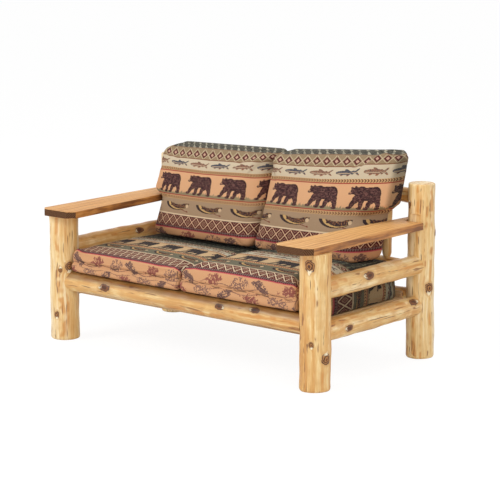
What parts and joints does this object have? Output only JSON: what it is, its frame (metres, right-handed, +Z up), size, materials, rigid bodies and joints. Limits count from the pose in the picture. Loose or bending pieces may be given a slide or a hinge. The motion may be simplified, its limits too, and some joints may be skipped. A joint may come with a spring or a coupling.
{
  "type": "log loveseat",
  "caption": "Rustic peeled-log loveseat with round posts and rails, flat plank arms, a slatted seat, a spindle back and loose patterned seat and back cushions.",
  "frame": {"origin": "middle of the footprint, at floor level", "axes": "+X across the seat towards its right-hand end as seen from the front, -Y towards the front, +Z up"},
  "size_m": [1.6066, 0.922, 0.8899],
  "materials": {
    "peeled_log": "clear satin finish on honey-yellow peeled log",
    "arm_plank": "clear satin finish on an orange-tan plank",
    "sawn_board": "plain sawn softwood",
    "hardwood_dowel": "plain turned dowel",
    "steel_screw": "zinc-plated",
    "lodge_fabric": "woven tapestry upholstery"
  },
  "bodies": {
    "frame": {"front_left_post": "peeled_log", "front_right_post": "peeled_log", "rear_left_post": "peeled_log", "rear_right_post": "peeled_log", "left_arm": "arm_plank", "right_arm": "arm_plank", "left_upper_rail": "peeled_log", "right_upper_rail": "peeled_log", "left_lower_rail": "peeled_log", "right_lower_rail": "peeled_log", "front_rail": "peeled_log", "rear_seat_rail": "peeled_log", "lower_back_rail": "peeled_log", "top_back_rail": "peeled_log", "front_ledger": "sawn_board", "rear_ledger": "sawn_board", "seat_slat_1": "sawn_board", "seat_slat_2": "sawn_board", "seat_slat_3": "sawn_board", "seat_slat_4": "sawn_board", "seat_slat_5": "sawn_board", "seat_slat_6": "sawn_board", "seat_slat_7": "sawn_board", "seat_slat_8": "sawn_board", "seat_slat_9": "sawn_board", "seat_slat_10": "sawn_board", "back_spindle_1": "peeled_log", "back_spindle_2": "peeled_log", "back_spindle_3": "peeled_log", "back_spindle_4": "peeled_log", "back_spindle_5": "peeled_log", "back_spindle_6": "peeled_log", "back_spindle_7": "peeled_log", "arm_dowels": "hardwood_dowel", "arm_lag_screws": "steel_screw", "tenon_screws": "steel_screw", "ledger_screws": "steel_screw", "slat_screws": "steel_screw"},
    "left_seat": {"left_seat_cushion": "lodge_fabric"},
    "right_seat": {"right_seat_cushion": "lodge_fabric"},
    "left_back": {"left_back_cushion": "lodge_fabric"},
    "right_back": {"right_back_cushion": "lodge_fabric"}
  },
  "joints": [
    {"name": "left_seat_lift", "type": "slide", "parent": "frame", "child": "left_seat", "axis": [0, 0, 1], "range_m": [0, 0.12]},
    {"name": "right_seat_lift", "type": "slide", "parent": "frame", "child": "right_seat", "axis": [0, 0, 1], "range_m": [0, 0.12]},
    {"name": "left_back_lift", "type": "slide", "parent": "left_seat", "child": "left_back", "axis": [0, 0.309, 0.9511], "range_m": [0, 0.48]},
    {"name": "right_back_lift", "type": "slide", "parent": "right_seat", "child": "right_back", "axis": [0, 0.309, 0.9511], "range_m": [0, 0.48]}
  ]
}
